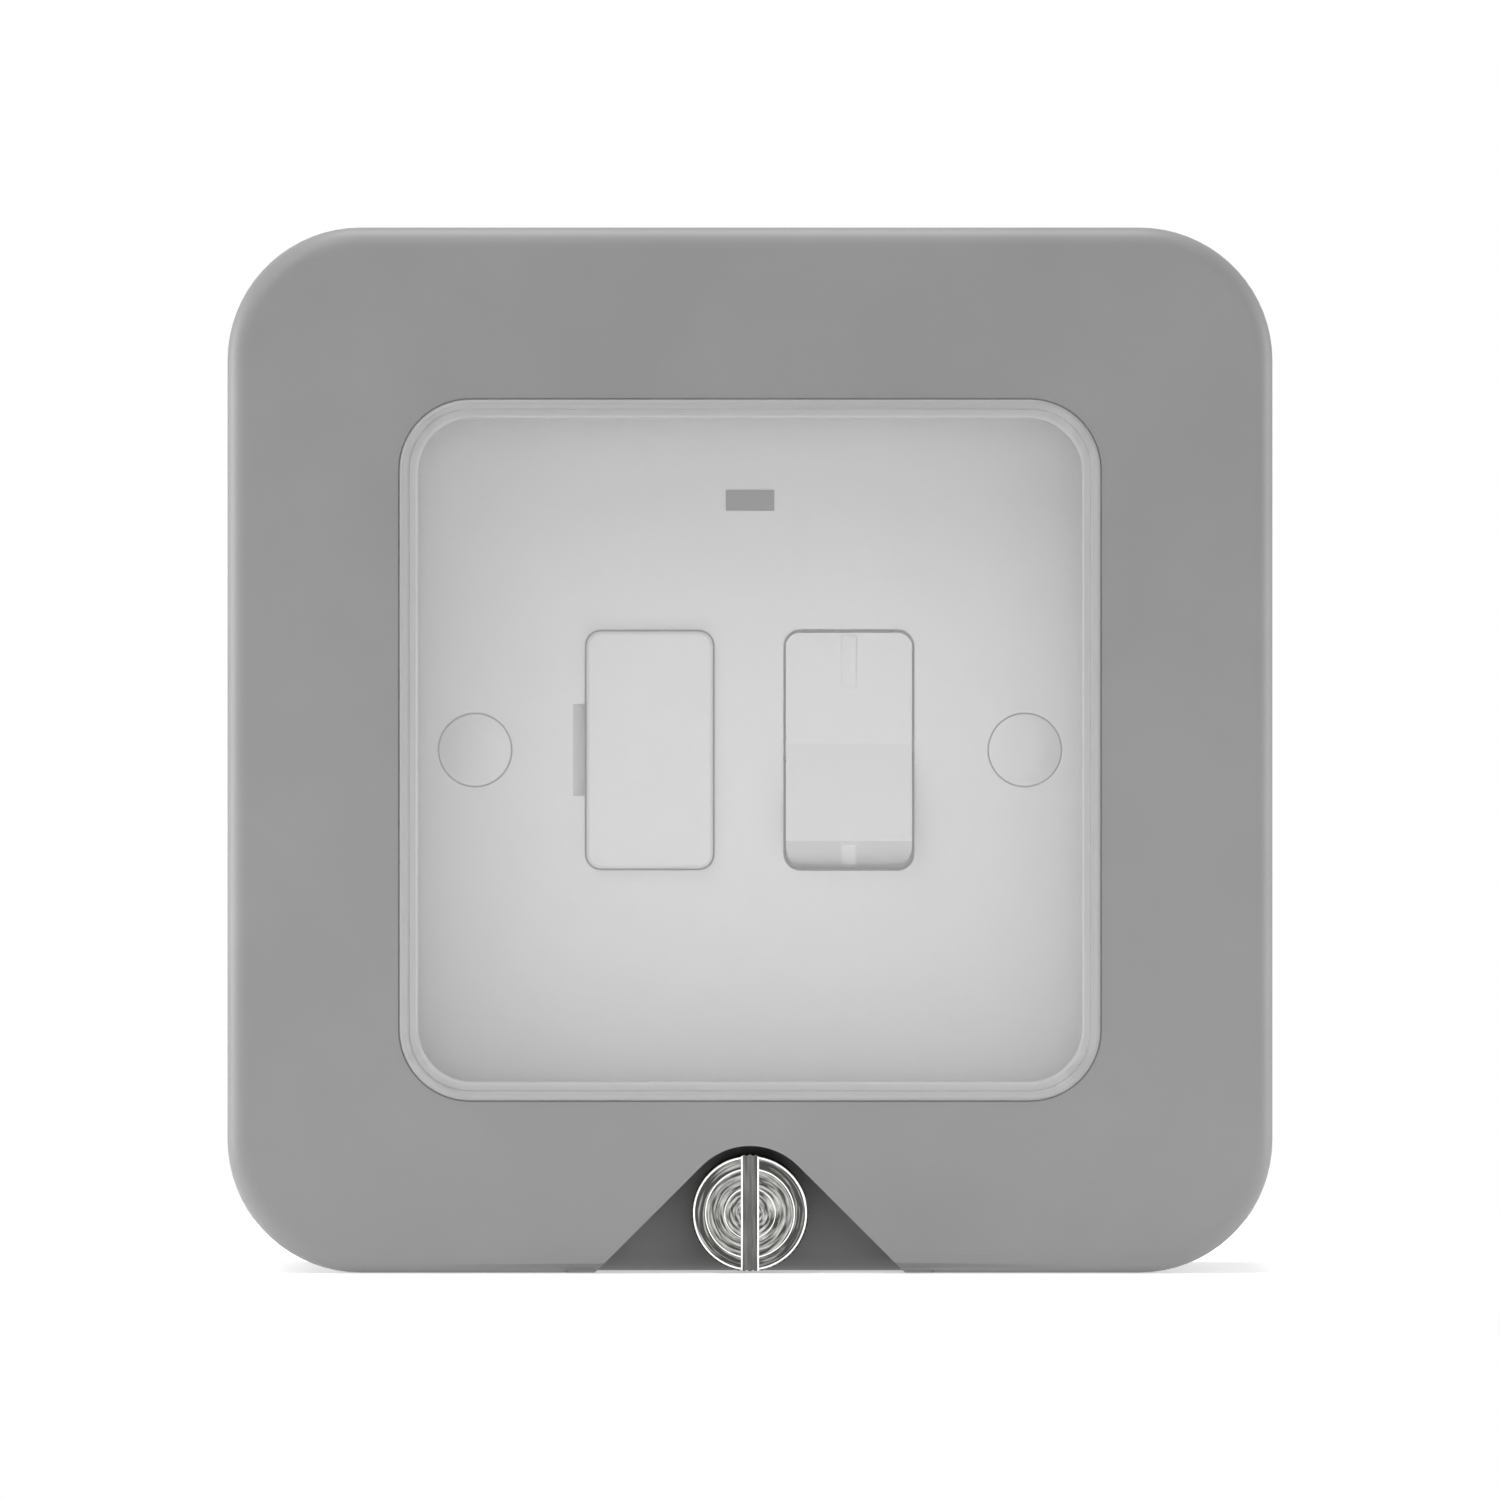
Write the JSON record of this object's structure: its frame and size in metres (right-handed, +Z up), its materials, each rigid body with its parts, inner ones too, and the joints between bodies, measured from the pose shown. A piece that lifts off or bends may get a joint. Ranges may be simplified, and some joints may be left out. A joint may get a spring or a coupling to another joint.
{
  "type": "weatherproof switched fused spur unit",
  "caption": "Square surface box with a hinged windowed lid and thumbscrew, round a switched fused plate with neon.",
  "frame": {"origin": "centre of the flat back face, on the wall", "axes": "+Z up the wall, +Y into the wall, +X to the right seen from the front; the front faces -Y"},
  "size_m": [0.114, 0.0658, 0.114],
  "materials": {
    "enclosure_abs": "moulded mid grey ABS, fine satin texture",
    "window_clear": "clear moulded polycarbonate, slightly milky",
    "seal_rubber": "black rubber, matt",
    "plate_urea": "pale grey moulded urea, smooth gloss",
    "housing_thermoset": "pale grey moulded thermoset",
    "plunger_nylon": "natural nylon",
    "nickel_plate": "turned brass with dull nickel plate",
    "zinc_steel": "zinc-plated steel",
    "brass": "drawn brass",
    "fuse_ceramic": "unglazed ceramic tube",
    "neon_lens": "grey translucent lens",
    "lamp_glass": "clear glass bulb",
    "resistor_lacquer": "lacquered body"
  },
  "bodies": {
    "base": {"base_box": "enclosure_abs", "hinge_pin_left": "zinc_steel", "hinge_pin_right": "zinc_steel", "lid_screw_insert": "brass", "pillar_insert_left": "brass", "pillar_insert_right": "brass", "blanking_plug_top": "enclosure_abs", "blanking_plug_left": "enclosure_abs", "blanking_plug_right": "enclosure_abs", "front_plate": "plate_urea", "rear_housing": "housing_thermoset", "contact_post_live": "brass", "contact_post_neutral": "brass", "fixed_contact_live": "brass", "fixed_contact_neutral": "brass", "fuse_clip_top": "brass", "fuse_clip_bottom": "brass", "neon_lens": "neon_lens", "neon_lamp": "lamp_glass", "neon_resistor": "resistor_lacquer", "screw_cap_left": "plate_urea", "screw_cap_right": "plate_urea", "plate_screw_left": "zinc_steel", "plate_screw_right": "zinc_steel", "housing_screw_top": "zinc_steel", "housing_screw_bottom": "zinc_steel", "terminal_live_out": "brass", "terminal_earth_out": "brass", "terminal_neutral_out": "brass", "terminal_live_in": "brass", "terminal_earth_in": "brass", "terminal_neutral_in": "brass", "terminal_screws": "brass"},
    "lid": {"lid_frame": "enclosure_abs", "lid_seal": "seal_rubber", "window": "window_clear", "thumbscrew_retainer": "plunger_nylon"},
    "thumbscrew_slider": {"thumbscrew_washer": "seal_rubber"},
    "thumbscrew": {"thumbscrew": "nickel_plate"},
    "rocker": {"rocker": "plate_urea", "plunger_live": "plunger_nylon", "plunger_neutral": "plunger_nylon"},
    "contact_arm_live": {"contact_arm_live": "brass"},
    "contact_arm_neutral": {"contact_arm_neutral": "brass"},
    "fuse_carrier": {"fuse_carrier": "plate_urea", "fuse_body": "fuse_ceramic", "fuse_cap_top": "brass", "fuse_cap_bottom": "brass"}
  },
  "joints": [
    {"name": "lid_hinge", "type": "hinge", "parent": "base", "child": "lid", "pos_m": [0, -0.0343, 0.054], "axis": [-1, 0, 0], "range_deg": [0, 110]},
    {"name": "thumbscrew_travel", "type": "slide", "parent": "lid", "child": "thumbscrew_slider", "axis": [0, -1, 0], "range_m": [0, 0.0063]},
    {"name": "thumbscrew_turn", "type": "hinge", "parent": "thumbscrew_slider", "child": "thumbscrew", "pos_m": [0, -0.0535, -0.05055], "axis": [0, -1, 0], "range_deg": [0, 2832.2]},
    {"name": "rocker_tilt", "type": "hinge", "parent": "base", "child": "rocker", "pos_m": [0.01085, -0.042, 0], "axis": [1, 0, 0], "range_deg": [0, 15]},
    {"name": "contact_live_tilt", "type": "hinge", "parent": "base", "child": "contact_arm_live", "pos_m": [0.00755, -0.0285, 0], "axis": [1, 0, 0], "range_deg": [-7, 0]},
    {"name": "contact_neutral_tilt", "type": "hinge", "parent": "base", "child": "contact_arm_neutral", "pos_m": [0.01415, -0.0285, 0], "axis": [1, 0, 0], "range_deg": [-7, 0]},
    {"name": "fuse_carrier_pull", "type": "slide", "parent": "base", "child": "fuse_carrier", "axis": [0, -1, 0], "range_m": [0, 0.0115]}
  ],
  "couplings": [
    {"joint": "thumbscrew_travel", "follows": "thumbscrew_turn", "m_per_rad": 0.00012732},
    {"joint": "contact_live_tilt", "follows": "rocker_tilt", "ratio": -0.4666},
    {"joint": "contact_neutral_tilt", "follows": "rocker_tilt", "ratio": -0.4666}
  ]
}
